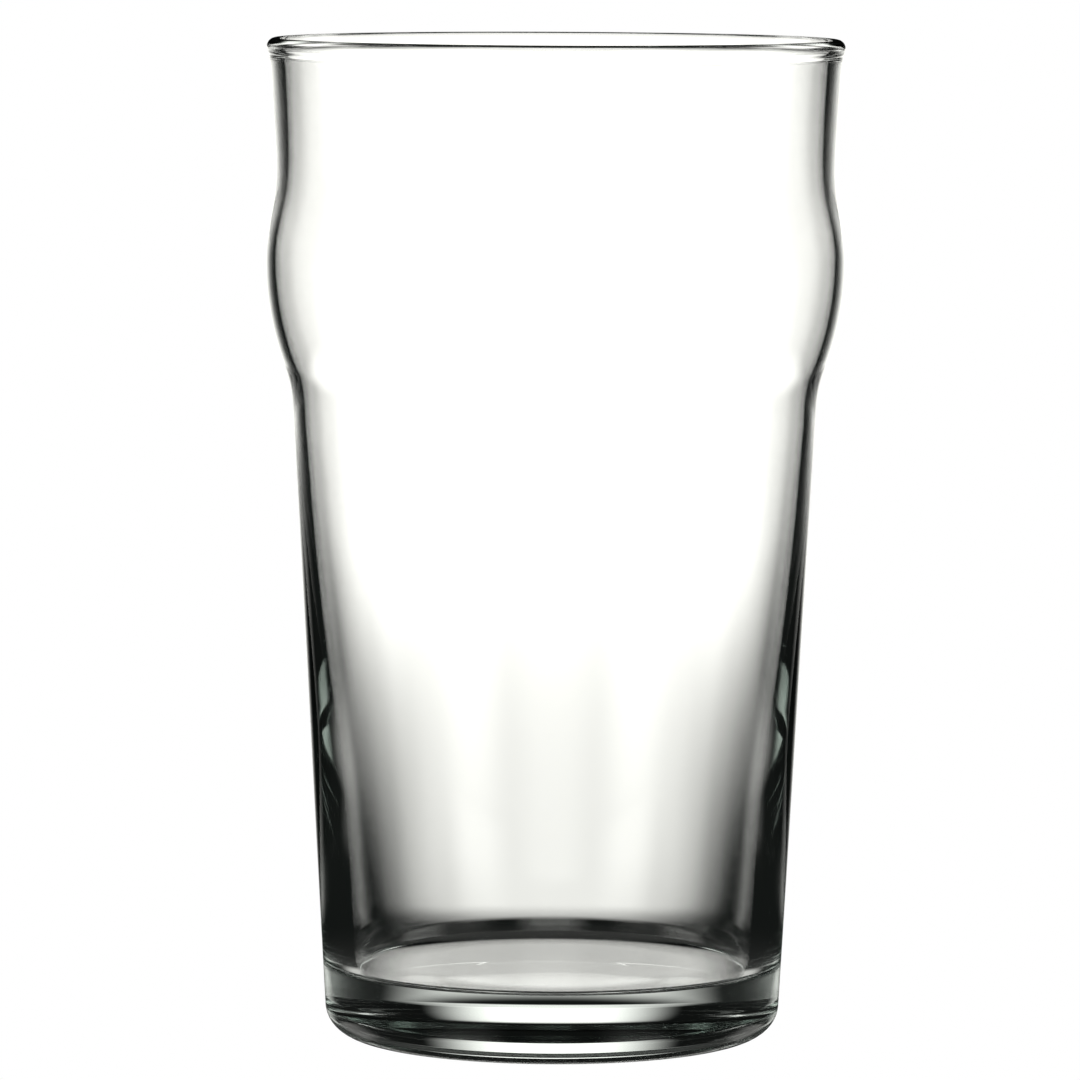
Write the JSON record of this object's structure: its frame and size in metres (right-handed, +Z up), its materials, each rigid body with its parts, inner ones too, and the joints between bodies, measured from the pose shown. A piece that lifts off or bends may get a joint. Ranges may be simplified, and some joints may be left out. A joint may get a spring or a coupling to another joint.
{
  "type": "pint glass",
  "caption": "Tall conical drinking glass with a rounded bulge below the lip, thin upper wall, thick clear base and hollowed underside.",
  "frame": {"origin": "centre of the foot, on the plane that the glass stands on", "axes": "+Z up along the glass's axis; X and Y are interchangeable, because the glass is a body of revolution"},
  "size_m": [0.0868, 0.0868, 0.15],
  "materials": {
    "glass": "clear, fire-polished"
  },
  "bodies": {
    "root": {"glass_body": "glass"}
  },
  "joints": []
}
